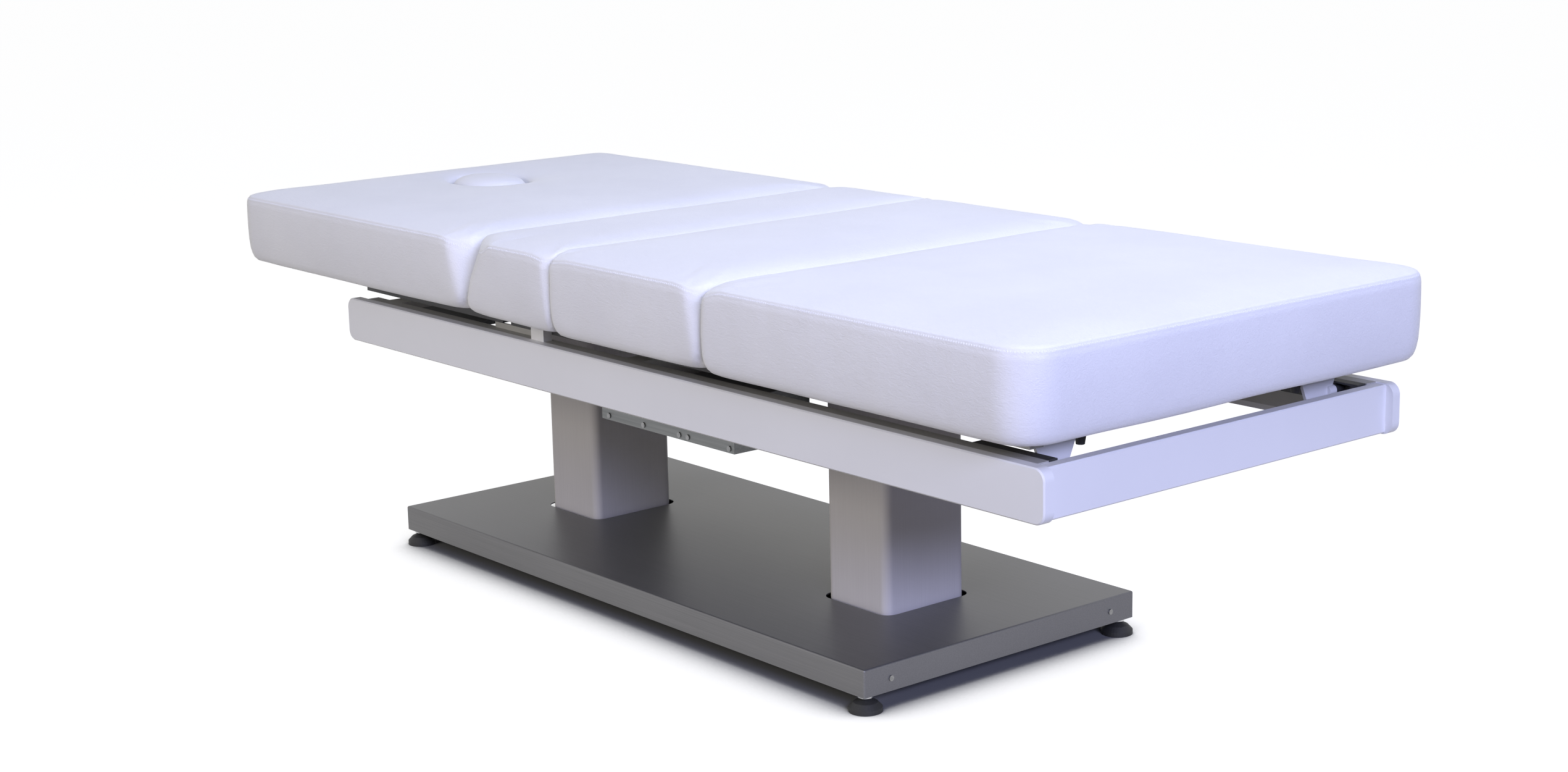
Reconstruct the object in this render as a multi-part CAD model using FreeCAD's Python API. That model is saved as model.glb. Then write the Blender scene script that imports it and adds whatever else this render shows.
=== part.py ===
import FreeCAD, Part
import math
import os
from FreeCAD import Vector

# Treatment table with a two-column lift, a tilting back and a coupled knee fold.
# Millimetres. The floor is z = 0, +X points to the foot end, +Z is up.
# The origin is on the floor, under the middle of the upholstery.

# Upholstery
cushion_length = 2020.0
cushion_width = 820.0
cushion_bottom = 501.0
cushion_side = 114.0
cushion_crown = 14.0
crown_run = 110.0
side_bulge = 5.0
bottom_round = 14.0
bottom_inset = 7.0
foot_corner = 56.0
head_corner = 40.0
back_hinge_x = -266.0
thigh_hinge_x = -20.0
knee_hinge_x = 352.0
back_end_gap = 8.0
back_end_slant = 11.0
seat_head_gap = 4.0
seat_head_slant = 20.0
seam_gap = 1.2
thigh_end_gap = 3.0
thigh_end_slant = 17.0
calf_end_gap = 3.0
calf_end_slant = 4.0

# Face opening and its plug
face_inset = 205.0
face_half_length = 85.0
face_half_width = 65.0
face_flare = 20.0
face_flare_depth = 26.0
face_ledge = 12.0
plug_clearance = 0.4
plug_sink = 9.0
plug_dome = 16.0
plug_draw = 0.9
plug_steps = 5
plug_sides = 48

# Boards and the rails under them
board_thickness = 12.0
board_margin_y = 62.0
board_margin_end = 62.0
board_hinge_gap = 28.0
seat_board_gap = 46.0
board_corner = 30.0
rail_outer_y = 325.0
rail_width = 25.0
rail_height = 22.0
rail_wall = 3.0
rail_hinge_gap = 12.0
back_rail_inset = 300.0
calf_rail_overrun = 15.0
rail_hole_inset = 95.0
rail_hole_radius = 5.0
section_bar_width = 20.0
section_bar_wall = 2.0
section_bar_offset = 60.0

# Hinges
hinge_pin_radius = 4.0
hinge_clearance = 0.05
lug_radius = 9.5
lug_sides = 16
lug_thickness = 4.0
lug_gap = 0.5
pin_overhang = 3.0

# Travel of the sections, in degrees
back_max = 70.0
thigh_max = 25.0

# Lifting frame
frame_outer_y = 359.0
frame_foot_inset = 20.5
frame_head_overhang = 274.5
frame_top = 457.5
panel_height = 74.5
panel_thickness = 18.0
panel_corner = 17.0
panel_edge = 2.0
end_panel_recess = 12.5
end_panel_lip = 2.0
tube_width = 21.0
tube_height = 60.0
tube_wall = 2.0
tube_head_setback = 42.0
head_tube_inset = 99.0
middle_tube_x = 77.0
foot_tube_inset = 49.5
cross_tube_width = 40.0
foot_tube_width = 30.0
cross_tube_height = 50.0
foot_tube_height = 26.0
cross_tube_wall = 2.5
post_x = -155.0
post_length = 35.0

# Foot guides of the calf section
glide_inset = 74.5
glide_z = 445.0
glide_radius = 8.0
glide_clearance = 1.8
glide_length = 16.0
glide_end_gap = 1.0
guide_length = 137.0
guide_end_gap = 2.0
guide_width = 18.0
guide_bottom = 428.0
guide_floor = 3.0
guide_end = 12.0
bracket_y = 265.0
bracket_top_width = 76.0
bracket_bottom_width = 46.0
bracket_bottom = 433.0
bracket_thickness = 5.0
buffer_y = 217.0
buffer_radius = 8.0
buffer_tip = 6.0
buffer_sides = 24
buffer_height = 13.0

# Columns
base_x = -68.0
column_inset = 242.0
column_length = 140.0
column_width = 165.0
column_corner = 14.0
column_wall = 3.0
column_clearance = 0.3
column_top = 438.0
stage_step = 5.0
head_plate_thickness = 8.0
head_plate_length = 180.0
spindle_radius = 11.0
spindle_clearance = 0.1
spindle_top_gap = 8.0
drive_length = 96.0
drive_height = 120.0
drive_shoulder = 34.0

# Base
base_length = 1245.0
base_width = 562.0
base_height = 42.5
base_bottom = 26.5
pan_sheet = 2.0
pan_fold = 3.0
pan_gap = 8.0
chassis_height = 30.0
chassis_tube = 40.0
chassis_wall = 2.5
chassis_rail_inset = 52.0
column_plate_length = 200.0
column_plate_thickness = 8.0
foot_inset = 18.0
foot_radius = 25.0
foot_lip = 7.0
foot_height = 20.0
foot_shoulder = 0.72
foot_sides = 32
stem_radius = 6.0
stem_top_gap = 4.0
pan_screw_inset = 52.0
pan_screw_z = 46.0
screw_shank = 2.5
screw_head = 4.6
screw_head_height = 1.6
screw_length = 12.0
screw_sides = 8

# Drive levers and linear drives
drive_pin_radius = 5.0
lever_thickness = 8.0
lever_clearance = 4.0
lever_margin = 8.0
back_drive_y = 250.0
back_drop = 82.0
back_stroke_per_degree = 1.58
back_slot_slack = 2.0
thigh_drive_y = 150.0
thigh_drop = 90.0
thigh_stroke_per_degree = 1.596
thigh_slot_slack = 1.0
slot_end_slack = 2.0
fork_cheek = 6.0
fork_clearance = 1.0
fork_height = 22.0
fork_nose = 12.0
fork_throat = 34.0
fork_block = 14.0
rod_radius = 10.0
rod_clearance = 0.08
rod_engaged = 150.0
housing_width = 46.0
housing_corner = 8.0
housing_nose_gap = 12.0
housing_length = 190.0
gear_length = 56.0
motor_radius = 25.0
motor_length = 120.0
flange_thickness = 8.0
flange_rise = 46.0

# Control tray under the middle cross tube
tray_head_x = -113.0
tray_foot_x = 229.0
tray_near_y = -250.0
tray_depth = 150.0
tray_bottom = 323.0
tray_sheet = 2.0
tray_screw_z = 330.0
tray_screw_x = (-94.0, -1.0, 92.0, 114.0, 217.0)
tray_screw_length = 8.0
unit_margin = 12.0
unit_height = 62.0
unit_corner = 10.0
inlet_length = 27.0
inlet_height = 20.0
inlet_depth = 10.0

# Sizes that follow from the ones above
head_x = -cushion_length / 2
foot_x = cushion_length / 2
face_x = head_x + face_inset
seam_z = cushion_bottom + cushion_side
board_bottom = cushion_bottom - board_thickness
rail_bottom = board_bottom - rail_height
hinge_z = board_bottom - rail_height / 2
rail_inner_y = rail_outer_y - rail_width
fixed_lug_y = rail_inner_y + pin_overhang
moving_lug_y = fixed_lug_y + lug_thickness + lug_gap
frame_foot_x = foot_x - frame_foot_inset
panel_bottom = frame_top - panel_height
tube_outer_y = frame_outer_y - panel_thickness
tube_inner_y = tube_outer_y - tube_width
tube_bottom = frame_top - tube_height
end_panel_x = frame_foot_x - end_panel_recess - panel_thickness
foot_tube_x = frame_foot_x - foot_tube_inset
glide_x = frame_foot_x - glide_inset
glide_inner_y = tube_inner_y - guide_floor - glide_end_gap - glide_length
guide_foot_x = end_panel_x - guide_end_gap
back_rail_head_x = head_x + back_rail_inset
calf_rail_foot_x = glide_x + calf_rail_overrun
rail_hole_x = calf_rail_foot_x - rail_hole_inset
base_top = base_bottom + base_height
pan_ceiling = base_top - pan_sheet
chassis_bottom = pan_ceiling - chassis_height
column_foot = chassis_bottom + column_plate_thickness
column_reach = base_length / 2 - column_inset
column_xs = (base_x - column_reach, base_x + column_reach)
frame_head_x = column_xs[0] - frame_head_overhang
head_tube_x = frame_head_x + head_tube_inset
chassis_rail_y = base_width / 2 - chassis_rail_inset
pan_screw_y = base_width / 2 - pan_screw_inset
head_plate_bottom = frame_top - head_plate_thickness


def box(x0, x1, y0, y1, z0, z1):
    return Part.makeBox(x1 - x0, y1 - y0, z1 - z0, Vector(x0, y0, z0))


def rod(start, direction, radius, length):
    return Part.makeCylinder(radius, length, Vector(*start), Vector(*direction))


def prism(points, direction):
    corners = [Vector(*p) for p in points]
    face = Part.Face(Part.makePolygon(corners + corners[:1]))
    return face.extrude(Vector(*direction))


def mirrored(shape):
    return shape.mirror(Vector(0, 0, 0), Vector(0, 1, 0))


def pair(shape):
    return [shape, mirrored(shape)]


def fused(first, *others):
    return first.fuse(list(others)).removeSplitter()


def edges_along(shape, axis):
    found = []
    for edge in shape.Edges:
        if not isinstance(edge.Curve, (Part.Line, Part.LineSegment)):
            continue
        tangent = edge.tangentAt(edge.FirstParameter)
        if abs(abs(tangent.dot(axis)) - 1) < 1e-6:
            found.append(edge)
    return found


def rounded_box(x0, x1, y0, y1, z0, z1, radius, axis):
    block = box(x0, x1, y0, y1, z0, z1)
    return block.makeFillet(radius, edges_along(block, Vector(*axis)))


def bevelled_box(x0, x1, y0, y1, z0, z1, bevel):
    """Box with its long edges along X broken."""
    block = box(x0, x1, y0, y1, z0, z1)
    return block.makeChamfer(bevel, edges_along(block, Vector(1, 0, 0)))


def column_block(x, length, width, corner, z0, z1):
    return rounded_box(x - length / 2, x + length / 2, -width / 2, width / 2, z0, z1, corner, (0, 0, 1))


def tube_along(x0, x1, y0, y1, z0, z1, wall, axis):
    inner = [x0 + wall, x1 - wall, y0 + wall, y1 - wall, z0 + wall, z1 - wall]
    ends = (x0, x1, y0, y1, z0, z1)
    inner[2 * axis] = ends[2 * axis]
    inner[2 * axis + 1] = ends[2 * axis + 1]
    return box(*ends).cut(box(*inner))


def ellipse_block(x, half_length, half_width, z0, z1):
    curve = Part.Ellipse(Vector(x, 0, z0), half_length, half_width)
    face = Part.Face(Part.Wire(curve.toShape()))
    return face.extrude(Vector(0, 0, z1 - z0))


def ellipse_wire(x, half_length, half_width, z):
    return Part.Wire(Part.Ellipse(Vector(x, 0, z), half_length, half_width).toShape())


def ring_points(x, y, half_length, half_width, z, sides):
    """Corners of a level many-sided outline on an oval."""
    points = []
    for k in range(sides):
        turn = 2 * math.pi * k / sides
        points.append(Vector(x + half_length * math.cos(turn), y + half_width * math.sin(turn), z))
    return points


def flat_face(points):
    return Part.Face(Part.makePolygon(points + points[:1]))


def stacked(x, y, half_length, half_width, levels, sides):
    """Solid of flat-sided steps; each level is a share of the full outline and a height."""
    rings = [ring_points(x, y, half_length * k, half_width * k, z, sides) for k, z in levels]
    faces = [flat_face(rings[0]), flat_face(rings[-1])]
    for low, high in zip(rings, rings[1:]):
        for k in range(sides):
            n = (k + 1) % sides
            faces.append(flat_face([low[k], low[n], high[n], high[k]]))
    solid = Part.Solid(Part.Shell(faces))
    if solid.Volume < 0:
        solid.reverse()
    return solid


def stud(start, direction, radius, length, sides):
    """Small round bar with few sides, along X or Y."""
    points = []
    for k in range(sides):
        turn = 2 * math.pi * k / sides
        u = radius * math.cos(turn)
        v = radius * math.sin(turn)
        x, y, z = start
        points.append((x, y + u, z + v) if direction[0] else (x + u, y, z + v))
    return prism(points, tuple(length * d for d in direction))


def save(name, shapes):
    solids = shapes if isinstance(shapes, list) else [shapes]
    for solid in solids:
        if not solid.isValid():
            print("not valid:", name)
    whole = solids[0] if len(solids) == 1 else Part.makeCompound(solids)
    whole.exportStep("parts/" + name + ".step")


# Upholstery forms
def cushion_across(x0, x1):
    """Section across the table: flat base, rounded lower edges, full sides and a crowned top."""
    half = cushion_width / 2
    low = half - bottom_inset
    seam_half = half - side_bulge / 2
    z0 = cushion_bottom
    z1 = z0 + bottom_round
    base = Part.LineSegment(Vector(x0, -low + bottom_round, z0), Vector(x0, low - bottom_round, z0))
    bend = bottom_round * (1 - math.sqrt(0.5))
    edges = [base.toShape()]
    for s in (1, -1):
        corner = Part.Arc(
            Vector(x0, s * (low - bottom_round), z0),
            Vector(x0, s * (low - bend), z0 + bend),
            Vector(x0, s * low, z1),
        )
        side = Part.Arc(
            Vector(x0, s * low, z1),
            Vector(x0, s * half, (z1 + seam_z) / 2),
            Vector(x0, s * seam_half, seam_z),
        )
        edges += [corner.toShape(), side.toShape()]
    crown = Part.Arc(
        Vector(x0, -seam_half, seam_z),
        Vector(x0, 0, seam_z + cushion_crown),
        Vector(x0, seam_half, seam_z),
    )
    edges.append(crown.toShape())
    face = Part.Face(Part.Wire(Part.__sortEdges__(edges)))
    return face.extrude(Vector(x1 - x0, 0, 0))


def cushion_along(x0, x1, slant0, slant1):
    """Section along the table: slanted ends and a top that rolls down to the end seams."""
    y = -cushion_width
    lean0 = cushion_side * math.tan(math.radians(slant0))
    lean1 = cushion_side * math.tan(math.radians(slant1))
    run = min(crown_run, (x1 - x0) / 3)
    top = seam_z + cushion_crown
    sag = cushion_crown * 0.72
    points = [
        Vector(x0, y, cushion_bottom),
        Vector(x1, y, cushion_bottom),
        Vector(x1 - lean1, y, seam_z),
        Vector(x1 - lean1 - run, y, top),
        Vector(x0 + lean0 + run, y, top),
        Vector(x0 + lean0, y, seam_z),
    ]
    foot_mid = Vector(points[2].x - run * 0.42, y, seam_z + sag)
    head_mid = Vector(points[5].x + run * 0.42, y, seam_z + sag)
    edges = [
        Part.LineSegment(points[0], points[1]).toShape(),
        Part.LineSegment(points[1], points[2]).toShape(),
        Part.Arc(points[2], foot_mid, points[3]).toShape(),
        Part.LineSegment(points[3], points[4]).toShape(),
        Part.Arc(points[4], head_mid, points[5]).toShape(),
        Part.LineSegment(points[5], points[0]).toShape(),
    ]
    face = Part.Face(Part.Wire(edges))
    return face.extrude(Vector(0, 2 * cushion_width, 0))


def cushion(x0, x1, slant0, slant1):
    return cushion_across(x0, x1).common(cushion_along(x0, x1, slant0, slant1))


def with_round_end(shape, x_end, side, radius):
    """Rounds the two upright corners at a free end."""
    reach = cushion_width
    x_in = x_end - side * reach
    low, high = min(x_in, x_end), max(x_in, x_end)
    half = cushion_width / 2
    plan = box(low, high, -half, half, cushion_bottom - 1, seam_z + 2 * cushion_crown)
    corners = [e for e in edges_along(plan, Vector(0, 0, 1)) if abs(e.CenterOfMass.x - x_end) < 1]
    plan = plan.makeFillet(radius, corners)
    rest = box(-2 * reach, low, -half, half, cushion_bottom - 1, seam_z + 2 * cushion_crown)
    if side < 0:
        rest = box(high, 2 * reach, -half, half, cushion_bottom - 1, seam_z + 2 * cushion_crown)
    return shape.common(fused(plan, rest))


def back_cushion():
    body = cushion(head_x, back_hinge_x - back_end_gap, 0, back_end_slant)
    body = with_round_end(body, head_x, -1, head_corner)
    crown_z = seam_z + cushion_crown
    hole = ellipse_block(face_x, face_half_length, face_half_width, cushion_bottom - 1, crown_z + 1)
    flare = Part.makeLoft(
        [
            ellipse_wire(face_x, face_half_length, face_half_width, crown_z - face_flare_depth),
            ellipse_wire(face_x, face_half_length + face_flare, face_half_width + face_flare, crown_z + 1),
        ],
        True,
        True,
    )
    return body.cut(hole).cut(flare)


def face_plug():
    """Oval plug whose top draws in to a low dome."""
    top = seam_z + cushion_crown - plug_sink
    half_length = face_half_length - plug_clearance
    half_width = face_half_width - plug_clearance
    levels = [(1.0, cushion_bottom)]
    for step in range(plug_steps):
        turn = math.radians(90.0 * step / plug_steps)
        share = 1 - plug_draw * (1 - math.cos(turn))
        levels.append((share, top - plug_dome * (1 - math.sin(turn))))
    return stacked(face_x, 0, half_length, half_width, levels, plug_sides)


# Boards and rails of the four sections
def board(x0, x1):
    half = cushion_width / 2 - board_margin_y
    return rounded_box(x0, x1, -half, half, board_bottom, cushion_bottom, board_corner, (0, 0, 1))


def back_board():
    plate = board(head_x + board_margin_end, back_hinge_x - board_hinge_gap)
    half_length = face_half_length - face_ledge
    half_width = face_half_width - face_ledge
    return plate.cut(ellipse_block(face_x, half_length, half_width, board_bottom - 1, cushion_bottom + 1))


def channel(x0, x1):
    """Folded channel that opens to the inside of the table."""
    inner = rail_inner_y
    body = box(x0, x1, inner, rail_outer_y, rail_bottom, board_bottom)
    hollow = box(x0, x1, inner, rail_outer_y - rail_wall, rail_bottom + rail_wall, board_bottom - rail_wall)
    return body.cut(hollow)


def lug(hinge_x, x_root, y0, radius_of_hole):
    """Hinge ear that stands between the flanges of a rail and reaches over the pin."""
    low, high = min(hinge_x, x_root), max(hinge_x, x_root)
    plate = box(low, high, y0, y0 + lug_thickness, hinge_z - lug_radius, hinge_z + lug_radius)
    root = rail_hinge_gap + lug_radius
    side = 1 if x_root > hinge_x else -1
    near = hinge_x + side * rail_hinge_gap
    foot = box(min(near, near + side * root), max(near, near + side * root), y0, y0 + lug_thickness,
               rail_bottom, board_bottom)
    eye = stud((hinge_x, y0, hinge_z), (0, 1, 0), lug_radius, lug_thickness, lug_sides)
    hole = rod((hinge_x, y0 - 1, hinge_z), (0, 1, 0), radius_of_hole, lug_thickness + 2)
    return fused(plate, eye, foot).cut(hole)


def rail(x0, x1, fixed_hinges, moving_hinges):
    body = channel(x0, x1)
    middle = (x0 + x1) / 2
    ears = [lug(h, middle, fixed_lug_y, hinge_pin_radius) for h in fixed_hinges]
    ears += [lug(h, middle, moving_lug_y, hinge_pin_radius + hinge_clearance) for h in moving_hinges]
    return fused(body, *ears)


def hinge_pin(hinge_x):
    """Plain pin: fixed in the inner ear, free to turn in the outer one."""
    length = 2 * lug_thickness + lug_gap + 2 * pin_overhang
    return rod((hinge_x, fixed_lug_y - pin_overhang, hinge_z), (0, 1, 0), hinge_pin_radius, length)


def section_bar(x):
    half = section_bar_width / 2
    return tube_along(x - half, x + half, -rail_inner_y, rail_inner_y,
                      rail_bottom, board_bottom, section_bar_wall, 1)


def calf_rail():
    body = rail(knee_hinge_x + rail_hinge_gap, calf_rail_foot_x, (), (knee_hinge_x,))
    start = (rail_hole_x, rail_outer_y - rail_wall - 1, hinge_z)
    hole = rod(start, (0, 1, 0), rail_hole_radius, rail_wall + 2)
    return body.cut(hole)


# Levers, linear drives and their rods
def slotted_lever(hinge_x, side, y, drop, half_angle, slack, root_x):
    """Plate under a section bar; its slot points at the hinge and takes the rod's pin."""
    lean = math.radians(half_angle)
    along = Vector(-side * math.sin(lean), 0, -math.cos(lean))
    across = Vector(math.cos(lean), 0, -side * math.sin(lean))
    hinge = Vector(hinge_x, y - lever_thickness / 2, hinge_z)
    near = drop - slot_end_slack
    far = drop / math.cos(lean) + slot_end_slack
    slot_half = drive_pin_radius + slack
    half = slot_half + lever_margin
    top = hinge_x + side * root_x
    corners = [
        (top + side * section_bar_width, hinge.y, rail_bottom),
        (top - side * section_bar_width / 2, hinge.y, rail_bottom),
        tuple(hinge + along * near - across * (side * half)),
        tuple(hinge + along * near + across * (side * half)),
    ]
    depth = (0, lever_thickness, 0)
    body = prism(corners, depth)
    edges = [hinge + along * near - across * half, hinge + along * near + across * half,
             hinge + along * far + across * half, hinge + along * far - across * half]
    tail = prism([tuple(p) for p in edges], depth)
    tip = rod(tuple(hinge + along * far), (0, 1, 0), half, lever_thickness)
    heel = rod(tuple(hinge + along * near), (0, 1, 0), half, lever_thickness)
    plate = fused(body, tail, tip, heel)
    shift = Vector(0, -1, 0)
    edges = [hinge + along * near - across * slot_half, hinge + along * near + across * slot_half,
             hinge + along * far + across * slot_half, hinge + along * far - across * slot_half]
    slot = prism([tuple(p + shift) for p in edges], (0, lever_thickness + 2, 0))
    ends = []
    for reach in (near, far):
        start = tuple(hinge + along * reach + shift)
        ends.append(rod(start, (0, 1, 0), slot_half, lever_thickness + 2))
    return plate.cut(fused(slot, *ends))


def drive_rod(pin_x, y, z, end_x):
    """Push rod with a fork and a fixed cross pin."""
    half = lever_thickness / 2 + fork_clearance
    outer = half + fork_cheek
    back_x = pin_x + fork_throat
    block = box(pin_x - fork_nose, back_x + fork_block, y - outer, y + outer,
                z - fork_height / 2, z + fork_height / 2)
    gap = box(pin_x - fork_nose - 1, back_x, y - half, y + half, z - fork_height, z + fork_height)
    pin = rod((pin_x, y - outer, z), (0, 1, 0), drive_pin_radius, 2 * outer)
    shaft_x = back_x + fork_block
    shaft = rod((shaft_x, y, z), (1, 0, 0), rod_radius, end_x - shaft_x)
    return fused(block.cut(gap), pin, shaft)


def drive_housing(front_x, rear_x, y, z, flange_x, bore_end):
    """Closed drive with its motor slung below, a gear case at the rear and a bolting flange."""
    half = housing_width / 2
    body = bevelled_box(front_x, rear_x, y - half, y + half, z - half, z + half, housing_corner)
    motor_z = z - half - motor_radius
    gear_x = rear_x - gear_length
    gear = bevelled_box(gear_x, rear_x, y - half, y + half, motor_z - motor_radius, z + half, housing_corner)
    motor = rod((gear_x - motor_length, y, motor_z), (1, 0, 0), motor_radius, motor_length + 1)
    flange = box(flange_x, flange_x + flange_thickness, y - half, y + half, z - half, z + flange_rise)
    bore = rod((front_x - 1, y, z), (1, 0, 0), rod_radius + rod_clearance, bore_end - front_x + 1)
    return fused(body, gear, motor, flange).cut(bore)


# Lifting frame
def side_panel():
    body = rounded_box(frame_head_x, frame_foot_x, tube_outer_y, frame_outer_y, panel_bottom, frame_top,
                       panel_corner, (0, 1, 0))
    outer = [e for e in body.Edges if abs(e.BoundBox.YMin - frame_outer_y) < 1e-6]
    return body.makeChamfer(panel_edge, outer)


def side_tube():
    return tube_along(frame_head_x + tube_head_setback, end_panel_x, tube_inner_y, tube_outer_y,
                      tube_bottom, frame_top, tube_wall, 0)


def cross_tube(x, width, z0, z1):
    return tube_along(x - width / 2, x + width / 2, -tube_inner_y, tube_inner_y, z0, z1, cross_tube_wall, 1)


def end_panel():
    body = box(end_panel_x, end_panel_x + panel_thickness, -tube_outer_y, tube_outer_y,
               panel_bottom + end_panel_lip, frame_top - end_panel_lip)
    outer = [e for e in edges_along(body, Vector(0, 1, 0)) if e.CenterOfMass.x > end_panel_x + 1]
    return body.makeChamfer(panel_edge, outer)


def lever_window():
    """Room for the back lever where a head plate lies under it."""
    reach = section_bar_offset + section_bar_width + lever_clearance
    half = lever_thickness / 2 + lever_clearance
    return box(back_hinge_x - reach, back_hinge_x + back_drop, back_drive_y - half, back_drive_y + half,
               head_plate_bottom - 1, frame_top + 1)


def head_plate(x):
    half = head_plate_length / 2
    plate = box(x - half, x + half, -tube_inner_y, tube_inner_y, head_plate_bottom, frame_top)
    return plate.cut(lever_window()).Solids[0]


def seat_post():
    return box(post_x - post_length / 2, post_x + post_length / 2, rail_outer_y, tube_outer_y,
               frame_top, board_bottom)


# Foot guides of the calf section
def guide():
    """Low-friction block on the inside of a side tube, with a groove for the glide."""
    head = guide_foot_x - guide_length
    body = box(head, guide_foot_x, tube_inner_y - guide_width, tube_inner_y, guide_bottom, frame_top)
    half = glide_radius + glide_clearance
    groove = box(head + guide_end, guide_foot_x - guide_end, tube_inner_y - guide_width,
                 tube_inner_y - guide_floor, glide_z - half, glide_z + half)
    return body.cut(groove)


def bracket():
    """Tapered plate under the calf bar that carries the glide."""
    x0 = glide_x - bracket_thickness / 2
    top = bracket_top_width / 2
    low = bracket_bottom_width / 2
    body = prism(
        [
            (x0, bracket_y - top, rail_bottom),
            (x0, bracket_y + top, rail_bottom),
            (x0, bracket_y + low, bracket_bottom),
            (x0, bracket_y - low, bracket_bottom),
        ],
        (bracket_thickness, 0, 0),
    )
    boss_y = glide_inner_y - bracket_thickness * 3
    boss = rod((glide_x, boss_y, glide_z), (0, 1, 0), glide_radius, glide_inner_y - boss_y)
    return fused(body, boss)


def glide():
    return rod((glide_x, glide_inner_y, glide_z), (0, 1, 0), glide_radius, glide_length)


def rubber_buffer():
    levels = [(buffer_tip / buffer_radius, rail_bottom - buffer_height), (1.0, rail_bottom)]
    return stacked(glide_x, buffer_y, buffer_radius, buffer_radius, levels, buffer_sides)


# Columns: a fixed outer tube, a middle stage and the tube that carries the frame
def column_stage(x, stage):
    step = 2 * stage * (column_wall + column_clearance)
    inset = column_wall
    corner = column_corner - stage * (column_wall + column_clearance)
    z0 = column_foot + stage * 2 * stage_step
    z1 = (column_top, column_top + stage_step, head_plate_bottom)[stage]
    outer = column_block(x, column_length - step, column_width - step, corner, z0, z1)
    inner = column_block(x, column_length - step - 2 * inset, column_width - step - 2 * inset,
                         corner - inset, z0 - 1, z1 + 1)
    return outer.cut(inner)


def bevelled_block(x, length, width, bevel, z0, z1):
    a = length / 2
    b = width / 2
    outline = [(a - bevel, b), (a, b - bevel), (a, bevel - b), (a - bevel, -b),
               (bevel - a, -b), (-a, bevel - b), (-a, b - bevel), (bevel - a, b)]
    return prism([(x + u, v, z0) for u, v in outline], (0, 0, z1 - z0))


def lift_drive(x):
    """Drive unit in the foot of the moving tube; its nut rides on the fixed spindle."""
    step = 4 * (column_wall + column_clearance) + 2 * column_wall
    z0 = column_foot + 4 * stage_step
    shoe = bevelled_block(x, column_length - step, column_width - step, column_corner,
                          z0, z0 + drive_shoulder)
    body = bevelled_block(x, drive_length, drive_length, column_corner, z0, z0 + drive_height)
    bore = rod((x, 0, z0 - 1), (0, 0, 1), spindle_radius + spindle_clearance, drive_height + 2)
    return fused(shoe, body).cut(bore)


def spindle(x):
    return rod((x, 0, column_foot), (0, 0, 1), spindle_radius, column_top - spindle_top_gap - column_foot)


# Base
def base_pan():
    x0 = base_x - base_length / 2
    x1 = base_x + base_length / 2
    half = base_width / 2
    body = box(x0, x1, -half, half, base_bottom, base_top)
    folds = [e for e in body.Edges if e.BoundBox.ZMin > base_top - 1e-6]
    folds += edges_along(body, Vector(0, 0, 1))
    body = body.makeFillet(pan_fold, folds)
    hollow = box(x0 + pan_sheet, x1 - pan_sheet, -half + pan_sheet, half - pan_sheet,
                 base_bottom - 1, pan_ceiling)
    body = body.cut(hollow)
    for x in column_xs:
        body = body.cut(column_block(x, column_length + 2 * pan_gap, column_width + 2 * pan_gap,
                                     column_corner + pan_gap, pan_ceiling - 1, base_top + 1))
    for y in (-pan_screw_y, pan_screw_y):
        start = (x0 - 1, y, pan_screw_z)
        body = body.cut(stud(start, (1, 0, 0), screw_shank, base_length + 2, screw_sides))
    return body


def foot_places():
    dx = base_length / 2 - foot_inset
    dy = base_width / 2 - foot_inset
    return [(base_x + sx * dx, sy * dy) for sx in (-1, 1) for sy in (-1, 1)]


def end_tube(side):
    outer = base_x + side * (base_length / 2 - pan_sheet)
    inner = outer - side * chassis_tube
    half = base_width / 2 - pan_sheet
    body = tube_along(min(outer, inner), max(outer, inner), -half, half,
                      chassis_bottom, pan_ceiling, chassis_wall, 1)
    for x, y in foot_places():
        if (x - base_x) * side > 0:
            body = body.cut(rod((x, y, chassis_bottom - 1), (0, 0, 1), stem_radius + hinge_clearance,
                                chassis_wall + 2))
    for y in (-pan_screw_y, pan_screw_y):
        start = (outer - side * screw_length, y, pan_screw_z)
        body = body.cut(stud(start, (side, 0, 0), screw_shank, screw_length + 1, screw_sides))
    return body


def chassis_rail():
    reach = base_length / 2 - pan_sheet - chassis_tube
    return tube_along(base_x - reach, base_x + reach, chassis_rail_y - chassis_tube / 2,
                      chassis_rail_y + chassis_tube / 2, chassis_bottom, pan_ceiling, chassis_wall, 0)


def column_plate(x):
    half = column_plate_length / 2
    reach = chassis_rail_y - chassis_tube / 2
    return box(x - half, x + half, -reach, reach, chassis_bottom, chassis_bottom + column_plate_thickness)


def levelling_foot(x, y):
    """Bell-shaped pad turned about its stem."""
    top = pan_ceiling - chassis_wall - stem_top_gap
    stem = stem_radius / foot_radius
    levels = [
        (1.0, 0),
        (1.0, foot_lip),
        (foot_shoulder, foot_height * foot_shoulder),
        (stem, foot_height),
        (stem, top),
    ]
    return stacked(x, y, foot_radius, foot_radius, levels, foot_sides)


def screw(x, y, z, direction, length):
    """Low-headed screw seated on a face, pointing along its shank."""
    seat = Vector(x, y, z)
    back = tuple(seat - Vector(*direction) * screw_head_height)
    head = stud(back, direction, screw_head, screw_head_height, screw_sides)
    return fused(head, stud((x, y, z), direction, screw_shank, length, screw_sides))


def pan_screws():
    found = []
    for side in (-1, 1):
        for y in (-pan_screw_y, pan_screw_y):
            x = base_x + side * base_length / 2
            found.append(screw(x, y, pan_screw_z, (-side, 0, 0), screw_length))
    return found


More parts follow.
